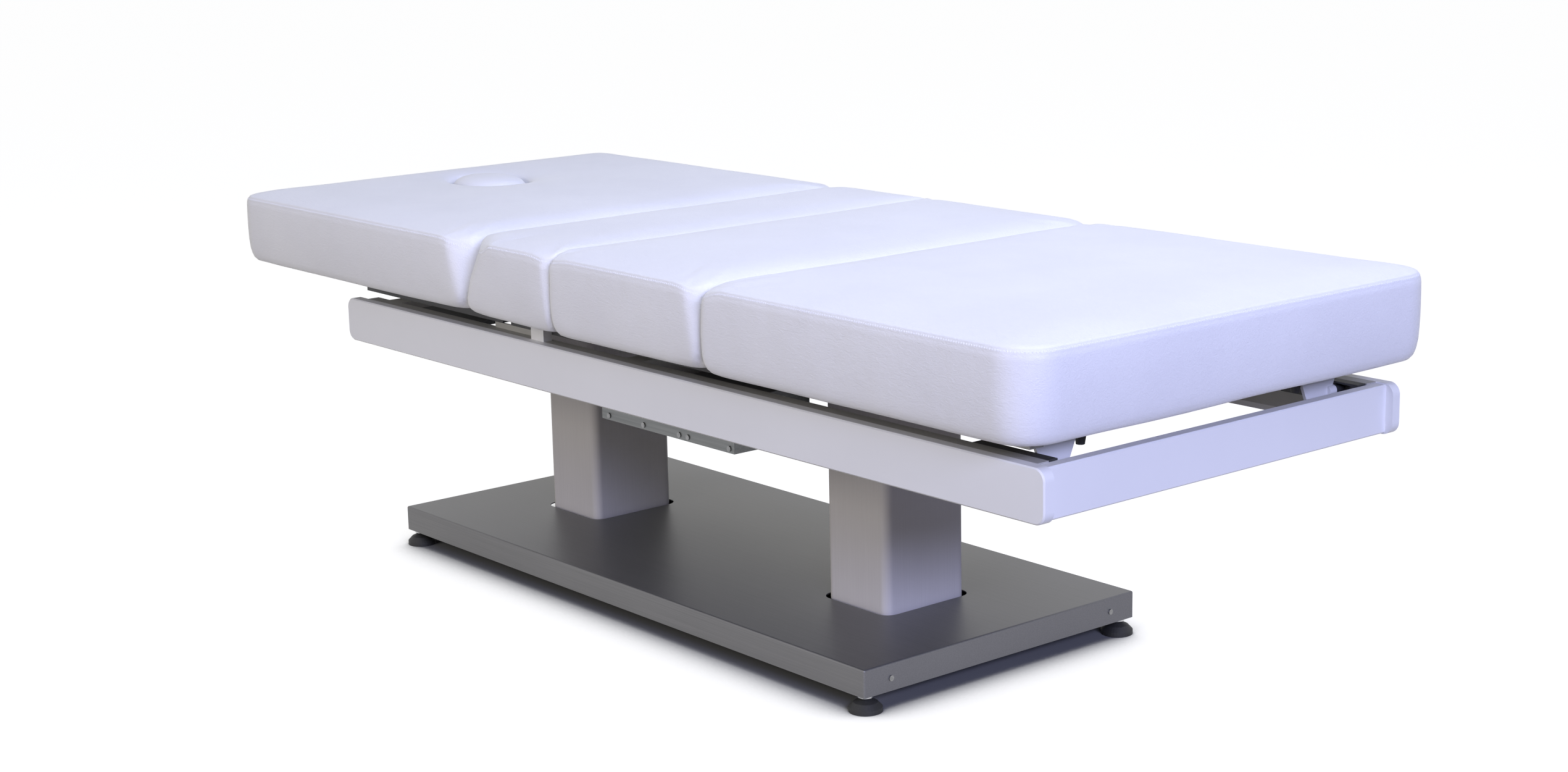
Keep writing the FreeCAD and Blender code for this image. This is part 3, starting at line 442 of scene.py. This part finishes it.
class Pad:
    """Closed upholstered form: a grid on top and one below, joined by a band of rings."""

    def __init__(self, x0, x1, r0, r1, hang, head=None, foot=None, step=8.0, hole=None):
        self.x0, self.x1 = x0, x1
        self.head, self.foot = head, foot
        self.hang = hang
        self.holed = hole is not None
        self.points, self.faces = [], []
        self.plan, nx, ny = outline(x0, x1, r0, r1, step, head, foot)
        self.count = len(self.plan)
        self.cols, self.lines = nx + 2 * HALF_CORNER, ny + 2 * HALF_CORNER
        self.band_x = min(BAND, 0.36 * (x1 - x0))
        self.rings()
        last = len(BOXED) - 1
        top = self.fill(0, BOXED[0][1], False, hole)
        low = self.fill(last, BOXED[last][1], True, hole)
        if hole:
            self.well(top, low)
        self.shape()

    def inner(self, k):
        """Place on the inner rectangle that point k of the plan runs to."""
        k = (k - HALF_CORNER) % self.count
        ax, bx = self.x0 + self.band_x, self.x1 - self.band_x
        ay = HALF - BAND
        m, n = self.cols, self.lines
        if k <= m:
            return ax + (bx - ax) * k / m, -ay
        if k <= m + n:
            return bx, -ay + 2 * ay * (k - m) / n
        if k <= 2 * m + n:
            return bx - (bx - ax) * (k - m - n) / m, ay
        return ax, ay - 2 * ay * (k - 2 * m - n) / n

    def rings(self):
        ends = [valley_path(e["roll"]) if e else BOXED for e in (self.head, self.foot)]
        for row, (box_off, box_z) in enumerate(BOXED):
            for k, (px, py, nx, ny, head, foot) in enumerate(self.plan):
                side = 1 - head - foot
                off = box_off * side + ends[0][row][0] * head + ends[1][row][0] * foot
                z = box_z * side + ends[0][row][1] * head + ends[1][row][1] * foot
                if off < 0:
                    t = band_share(-off)
                    qx, qy = self.inner(k)
                    x, y = px + (qx - px) * t, py + (qy - py) * t
                else:
                    x, y = px + nx * off, py + ny * off
                self.points.append([x, y, z])
        for row in range(len(BOXED) - 1):
            for k in range(self.count):
                n = (k + 1) % self.count
                a, b = row * self.count, (row + 1) * self.count
                self.faces.append((a + k, b + k, b + n, a + n))

    def fill(self, row, z, below, hole):
        """Grid inside one ring. With a hole, cells near it are left out and its border is returned."""
        m, n, first = self.cols, self.lines, row * self.count
        grid = {}
        for i in range(m + 1):
            for j in range(n + 1):
                if j == 0:
                    k = i
                elif i == m:
                    k = m + j
                elif j == n:
                    k = 2 * m + n - i
                elif i == 0:
                    k = 2 * m + 2 * n - j
                else:
                    ax, bx = self.x0 + self.band_x, self.x1 - self.band_x
                    ay = HALF - BAND
                    grid[i, j] = len(self.points)
                    self.points.append([ax + (bx - ax) * i / m, -ay + 2 * ay * j / n, z])
                    continue
                grid[i, j] = first + (k + HALF_CORNER) % self.count
        skip = set()
        border = []
        if hole:
            cols = [i for i in range(1, m) if abs(self.points[grid[i, 1]][0] - hole[0]) < hole[1]]
            rows = [j for j in range(1, n) if abs(self.points[grid[1, j]][1]) < hole[2]]
            i0, i1, j0, j1 = cols[0], cols[-1], rows[0], rows[-1]
            skip = {(i, j) for i in range(i0, i1) for j in range(j0, j1)}
            border = [grid[i, j0] for i in range(i0, i1)] + [grid[i1, j] for j in range(j0, j1)]
            border += [grid[i, j1] for i in range(i1, i0, -1)] + [grid[i0, j] for j in range(j1, j0, -1)]
        for i in range(m):
            for j in range(n):
                if (i, j) not in skip:
                    quad = (grid[i, j], grid[i + 1, j], grid[i + 1, j + 1], grid[i, j + 1])
                    self.faces.append(quad[::-1] if below else quad)
        return border

    def well(self, top, low):
        """Oval well for the plug, between the borders left in the top and the base."""
        rings = [top]
        for t, out, z in WELL:
            ring = []
            for start in top:
                x, y, _ = self.points[start]
                turn = math.atan2(y / FACE_B, (x - FACE_X) / FACE_A)
                ex = FACE_X + (FACE_A + out) * math.cos(turn)
                ey = (FACE_B + out) * math.sin(turn)
                ring.append(len(self.points))
                self.points.append([x + (ex - x) * t, y + (ey - y) * t, z])
            rings.append(ring)
        rings.append(low)
        for a, b in zip(rings, rings[1:]):
            for k in range(len(a)):
                n = (k + 1) % len(a)
                self.faces.append((a[k], a[n], b[n], b[k]))

    def shape(self):
        """Opens the folds at the sides, makes the cover slightly uneven and lets its lower edge hang."""
        for p in self.points:
            place_at = tuple(p)
            for end, edge, way in ((self.head, self.x0, 1), (self.foot, self.x1, -1)):
                if end:
                    open_fold(p, place_at, end, edge, way)
            self.uneven(p, *place_at)
            self.droop(p, *place_at)

    def uneven(self, p, x, y, z):
        face, top_margin, flatten, base_height, base_rise = 20, 2, 0.22, 30, 0.4
        swell = wave("side", x, y, z) + wave("side_fine", x, y, z)
        if abs(y) > HALF - face:
            p[1] += math.copysign(swell, y)
        if not self.head and x < HEAD_X + face or not self.foot and x > FOOT_X - face:
            p[0] += math.copysign(swell, x)
        if z > SEAM + top_margin:
            p[2] += wave("top", x, y, 0) - flatten * (z - SEAM)
        if z < LOW + base_height:
            p[2] += (wave("base", x, y, 0) + base_rise) * (1 - (z - LOW) / base_height)

    def droop(self, p, x, y, z):
        board_edge, blend_width, height = 26, 30, 60
        inside = min(HALF - abs(y), x - HEAD_X, FOOT_X - x)
        p[2] -= self.hang * (1 - ease((inside - board_edge) / blend_width)) * (1 - ease((z - LOW) / height))

    def stitches(self):
        """Ticks of the stitch along the seam, as centre, way along, way up and way out."""
        ticks = []
        deepest_share, tilt = 0.5, 0.25
        a, b, c = (row * self.count for row in (SEAM_ROW - 1, SEAM_ROW, SEAM_ROW + 1))
        carry = 0.0
        for k in range(self.count):
            n = (k + 1) % self.count
            hidden = self.plan[k][4] + self.plan[k][5]
            p, q = Vector(self.points[b + k]), Vector(self.points[b + n])
            length = (q - p).length
            while carry < length:
                t = carry / length
                if hidden < deepest_share:
                    up = Vector(self.points[a + k]).lerp(Vector(self.points[a + n]), t)
                    down = Vector(self.points[c + k]).lerp(Vector(self.points[c + n]), t)
                    out = Vector((*self.plan[k][2:4], tilt)).normalized()
                    ticks.append((p.lerp(q, t), (q - p).normalized(), (up - down).normalized() * TICK, out))
                carry += STITCH
            carry -= length
        return ticks


def stitch_mesh(name, ticks):
    """All stitches of one seam, each a small double pyramid."""
    proud, tall, wide, outer, inner = 0.2, 0.62, 0.95, 0.6, 0.4
    points, faces = [], []
    for centre, along, up, out in ticks:
        base = len(points)
        middle = centre + out * proud
        for p in (middle + up * tall, middle - up * tall, middle + along * wide, middle - along * wide,
                  middle + out * outer, middle - out * inner):
            points.append(tuple(p))
        for i, j, k in ((0, 2, 4), (0, 4, 3), (0, 3, 5), (0, 5, 2), (1, 4, 2), (1, 3, 4), (1, 5, 3), (1, 2, 5)):
            faces.append((base + k, base + j, base + i))
    return mesh_object(name, points, faces, FINISH["thread"], smooth=False)


def inflate(piece, pad, cap):
    """Fills a pad by a short cloth simulation: seams, folds, well and base are held, the rest swells."""
    fold_share, base_height, rim = 0.3, 8, 18
    rest = [v.co.copy() for v in piece.data.vertices]
    band_points = pad.count * len(BOXED)
    held = []
    for k, v in enumerate(rest):
        row = k // pad.count if k < band_points else None
        seam = row in SEAM_HELD
        fold = row in FOLD_HELD and max(pad.plan[k % pad.count][4:6]) > fold_share
        oval = math.hypot((v.x / MM - FACE_X) / (FACE_A + rim), v.y / MM / (FACE_B + rim)) < 1
        if seam or fold or v.z < (LOW + base_height) * MM or (pad.holed and oval):
            held.append(k)
    group = piece.vertex_groups.new(name="held")
    group.add(held, 1.0, "REPLACE")
    cloth = piece.modifiers.new("cloth", "CLOTH")
    cloth.point_cache.frame_start = 1
    cloth.point_cache.frame_end = SIM_FRAMES
    settings = cloth.settings
    settings.vertex_group_mass = "held"
    for key, value in CLOTH.items():
        setattr(settings, key, value)
    settings.effector_weights.gravity = 0
    scene = bpy.context.scene
    for step in range(1, SIM_FRAMES + 1):
        scene.frame_set(step)
    swollen = piece.evaluated_get(bpy.context.evaluated_depsgraph_get()).to_mesh()
    moved = [v.co.copy() for v in swollen.vertices]
    piece.modifiers.remove(cloth)
    piece.vertex_groups.remove(group)
    scene.frame_set(1)
    for v, a, b in zip(piece.data.vertices, rest, moved):
        shift = b - a
        far = shift.length
        v.co = a + shift * (cap * MM / (cap * MM + far)) if far > 0 else a
    piece.data.update()


def half_of(piece, name, x, keep_low):
    """Copy of a piece cut off at a plane across the table, with the cut closed."""
    mesh = bmesh.new()
    mesh.from_mesh(piece.data)
    geometry = mesh.verts[:] + mesh.edges[:] + mesh.faces[:]
    bmesh.ops.bisect_plane(mesh, geom=geometry, plane_co=(x * MM, 0, 0), plane_no=(1, 0, 0),
                           clear_outer=keep_low, clear_inner=not keep_low)
    rim = [edge for edge in mesh.edges if edge.is_boundary]
    for face in bmesh.ops.holes_fill(mesh, edges=rim)["faces"]:
        face.normal_update()
        if (face.normal.x > 0) != keep_low:
            face.normal_flip()
    for edge in rim:
        edge.smooth = False
    data = bpy.data.meshes.new(name)
    mesh.to_mesh(data)
    mesh.free()
    data.polygons.foreach_set("use_smooth", [True] * len(data.polygons))
    data.materials.append(piece.data.materials[0])
    part = bpy.data.objects.new(name, data)
    bpy.context.scene.collection.objects.link(part)
    return part


def bend(piece):
    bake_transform(piece)


def soft_piece(piece, node=None):
    if node:
        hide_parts(node)
    bend(piece)


def stitched(name, ticks):
    piece = stitch_mesh(name, ticks)
    bend(piece)


def whole_pad(name, pad, node):
    piece = mesh_object(name, pad.points, pad.faces, FINISH["vinyl"])
    inflate(piece, pad, SWELL)
    soft_piece(piece, node)
    stitched(name + "_stitches", pad.stitches())


def split_pad(name, pad, x, joints, node):
    """A pad with folds at both ends is made in two, cut across the table at x, each half with its own stitches.
    """
    whole = mesh_object(name, pad.points, pad.faces, FINISH["vinyl"])
    inflate(whole, pad, SWELL)
    ticks = pad.stitches()
    for part, keep_low, joint in (("head", True, joints[0]), ("foot", False, joints[1])):
        piece = half_of(whole, "%s_%s_half" % (name, part), x, keep_low)
        soft_piece(piece, node if keep_low else None)
        stitched("%s_%s_stitches" % (name, part), [t for t in ticks if (t[0].x < x) == keep_low])
    bpy.data.objects.remove(whole)


def plug():
    """Domed plug of the face opening."""
    points = []
    sides, smooth_below = 72, 600
    for share, z in PLUG:
        for k in range(sides):
            turn = 2 * math.pi * k / sides
            x, y = FACE_X + FACE_A * share * math.cos(turn), FACE_B * share * math.sin(turn)
            points.append((x, y, z + (wave("plug", k, share * 20, z) if z > smooth_below else 0)))
    faces = ring_faces(len(PLUG), sides)
    faces.append(tuple(range(sides - 1, -1, -1)))
    last = (len(PLUG) - 1) * sides
    faces.append(tuple(range(last, last + sides)))
    piece = mesh_object("face_pad_plug", points, faces, FINISH["vinyl"])
    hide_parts("face_plug")
    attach(piece, "face_plug")


def upholstery():
    back = Pad(HEAD_X, BACK_FOLD - FOLD_GAP, r0=40, r1=30, hang=5, foot=FOLDS["back_foot"],
               hole=(FACE_X, 126, 106))
    seat = Pad(BACK_FOLD + FOLD_GAP, THIGH_FOLD - FOLD_GAP, r0=13, r1=15, hang=7,
               head=FOLDS["seat_head"], foot=FOLDS["seat_foot"])
    thigh = Pad(THIGH_FOLD + FOLD_GAP, KNEE_FOLD - FOLD_GAP, r0=9, r1=26, hang=10,
                head=FOLDS["thigh_head"], foot=FOLDS["thigh_foot"])
    calf = Pad(KNEE_FOLD + FOLD_GAP, FOOT_X, r0=13, r1=56, hang=13, head=FOLDS["calf_head"])
    whole_pad("back_pad", back, "back_cushion")
    split_pad("seat_pad", seat, SEAT_SPLIT, ("back", "thigh"), "seat_cushion")
    split_pad("thigh_pad", thigh, THIGH_SPLIT, ("thigh", "knee"), "thigh_cushion")
    whole_pad("calf_pad", calf, "calf_cushion")
    plug()


# Small metal pieces
def foot_sleeves():
    """Light metal sleeves on the stems of the feet, with six flats where they are widest."""
    sides, flats_from, flat_depth = 36, 11, 0.06
    for number in (1, 2, 3, 4):
        low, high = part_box("levelling_foot_%d" % number)
        cx, cy = (low.x + high.x) / 2 / MM, (low.y + high.y) / 2 / MM
        points = []
        for radius, z in SLEEVE:
            for k in range(sides):
                turn = 2 * math.pi * k / sides
                flat = 1.0 if radius < flats_from else 1.0 - flat_depth * abs(math.sin(3 * turn))
                points.append((cx + radius * flat * math.cos(turn), cy + radius * flat * math.sin(turn), z))
        faces = ring_faces(len(SLEEVE), sides, closed=True)
        piece = mesh_object("foot_sleeve_%d" % number, points, faces, FINISH["bright_steel"])
        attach(piece, "levelling_foot_%d" % number)


def seat_plates():
    """Plates on the side tubes beside the seat posts, in the gap under the seat."""
    length, play = 128, 0.5
    tube_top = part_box("side_tubes")[1].z / MM
    rail_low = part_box("seat_rails")[0].z / MM
    post_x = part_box("seat_posts")[0].x / MM
    for name, y0, y1 in (("near", -325, -321), ("far", 321, 325)):
        heights = (tube_top, rail_low - play)
        points = [(x, y, z) for z in heights for y in (y0, y1) for x in (post_x - length, post_x)]
        faces = [(0, 2, 3, 1), (4, 5, 7, 6), (0, 1, 5, 4), (2, 6, 7, 3), (0, 4, 6, 2), (1, 3, 7, 5)]
        piece = mesh_object("seat_plate_" + name, points, faces, FINISH["grey_steel"], smooth=False)
        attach(piece, "table_frame")


# Studio
def area(name, place_at, target, size, power, colour):
    data = bpy.data.lights.new(name, "AREA")
    data.shape = "RECTANGLE"
    data.size, data.size_y = size
    data.energy = power
    data.color = colour
    lamp = bpy.data.objects.new(name, data)
    lamp.location = place_at
    lamp.rotation_euler = (Vector(target) - Vector(place_at)).to_track_quat("-Z", "Y").to_euler()
    lamp.visible_camera = False
    bpy.context.scene.collection.objects.link(lamp)


def seen_directly(tree):
    """1 for what the camera sees, directly or in metal or glass."""
    rays = tree.nodes.new("ShaderNodeLightPath")
    first = tree.nodes.new("ShaderNodeMath")
    first.operation = "MAXIMUM"
    second = tree.nodes.new("ShaderNodeMath")
    second.operation = "MAXIMUM"
    tree.links.new(rays.outputs["Is Camera Ray"], first.inputs[0])
    tree.links.new(rays.outputs["Is Glossy Ray"], first.inputs[1])
    tree.links.new(first.outputs["Value"], second.inputs[0])
    tree.links.new(rays.outputs["Is Transmission Ray"], second.inputs[1])
    return second.outputs["Value"]


def studio():
    """World and lamps: soft light on the object, white where it is seen directly."""
    scene = bpy.context.scene
    scene.view_settings.view_transform = "Standard"
    world = bpy.data.worlds.new("studio")
    scene.world = world
    world.use_nodes = True
    tree = world.node_tree
    tree.nodes.clear()
    out = tree.nodes.new("ShaderNodeOutputWorld")
    mix = tree.nodes.new("ShaderNodeMixShader")
    soft = tree.nodes.new("ShaderNodeBackground")
    soft.inputs["Color"].default_value = (0.91, 0.94, 1.0, 1)
    soft.inputs["Strength"].default_value = 0.13
    white = tree.nodes.new("ShaderNodeBackground")
    white.inputs["Color"].default_value = (1, 1, 1, 1)
    white.inputs["Strength"].default_value = 1.0
    tree.links.new(seen_directly(tree), mix.inputs["Fac"])
    tree.links.new(soft.outputs["Background"], mix.inputs[1])
    tree.links.new(white.outputs["Background"], mix.inputs[2])
    tree.links.new(mix.outputs["Shader"], out.inputs["Surface"])
    for name, lamp in LAMPS.items():
        area(name, *lamp)


def floor():
    """Pale floor: its lit part keeps the lamps' shadow, and its glow carries a painted contact shadow, darkened
    by ambient occlusion near the object. What it throws back onto the object is darker.
    """
    far = FLOOR_HALF
    mesh = bpy.data.meshes.new("floor")
    mesh.from_pydata([(-far, -far, 0), (far, -far, 0), (far, far, 0), (-far, far, 0)], [], [(0, 1, 2, 3)])
    material = bpy.data.materials.new("white_floor")
    material.use_nodes = True
    tree = material.node_tree
    tree.nodes.clear()
    out = tree.nodes.new("ShaderNodeOutputMaterial")
    bounce = tree.nodes.new("ShaderNodeBsdfDiffuse")
    bounce.inputs["Color"].default_value = (0.2, 0.178, 0.156, 1)
    lit = tree.nodes.new("ShaderNodeBsdfDiffuse")
    lit.inputs["Color"].default_value = (0.22, 0.22, 0.22, 1)
    glow_with_painted_shadow = tree.nodes.new("ShaderNodeEmission")
    # Painted shadow: ambient occlusion near the object darkens the floor's glow through the ramp below
    near = tree.nodes.new("ShaderNodeAmbientOcclusion")
    near.samples = 12
    near.inputs["Distance"].default_value = 0.24
    ramp = tree.nodes.new("ShaderNodeValToRGB")
    ramp.color_ramp.elements[0].position = 0.42
    ramp.color_ramp.elements[0].color = (0.0, 0.0, 0.0, 1)
    ramp.color_ramp.elements[1].position = 0.86
    ramp.color_ramp.elements[1].color = (0.96, 0.96, 0.96, 1)
    tree.links.new(near.outputs["AO"], ramp.inputs["Fac"])
    tree.links.new(ramp.outputs["Color"], glow_with_painted_shadow.inputs["Color"])
    add = tree.nodes.new("ShaderNodeAddShader")
    mix = tree.nodes.new("ShaderNodeMixShader")
    tree.links.new(lit.outputs["BSDF"], add.inputs[0])
    tree.links.new(glow_with_painted_shadow.outputs["Emission"], add.inputs[1])
    tree.links.new(seen_directly(tree), mix.inputs["Fac"])
    tree.links.new(bounce.outputs["BSDF"], mix.inputs[1])
    tree.links.new(add.outputs["Shader"], mix.inputs[2])
    tree.links.new(mix.outputs["Shader"], out.inputs["Surface"])
    mesh.materials.append(material)
    piece = bpy.data.objects.new("floor", mesh)
    bpy.context.scene.collection.objects.link(piece)


def camera():
    """Camera at the photograph's viewing angle, solved from edges of the object."""
    data = bpy.data.cameras.new("camera")
    data.sensor_width = 36
    data.sensor_fit = "HORIZONTAL"
    data.lens = 57.38
    data.clip_end = 200
    eye = bpy.data.objects.new("camera", data)
    right = (0.63744302, 0.7702224, -0.02058776)
    up = (-0.15244249, 0.1522646, 0.97651256)
    back = (0.75526663, -0.61933266, 0.21447462)
    at = (3.11104, -2.51367, 1.23190)
    eye.matrix_world = Matrix([[right[i], up[i], back[i], at[i]] for i in range(3)] + [[0, 0, 0, 1]])
    bpy.context.scene.collection.objects.link(eye)
    bpy.context.scene.camera = eye


finish_frame()
upholstery()
foot_sleeves()
seat_plates()
studio()
floor()
camera()
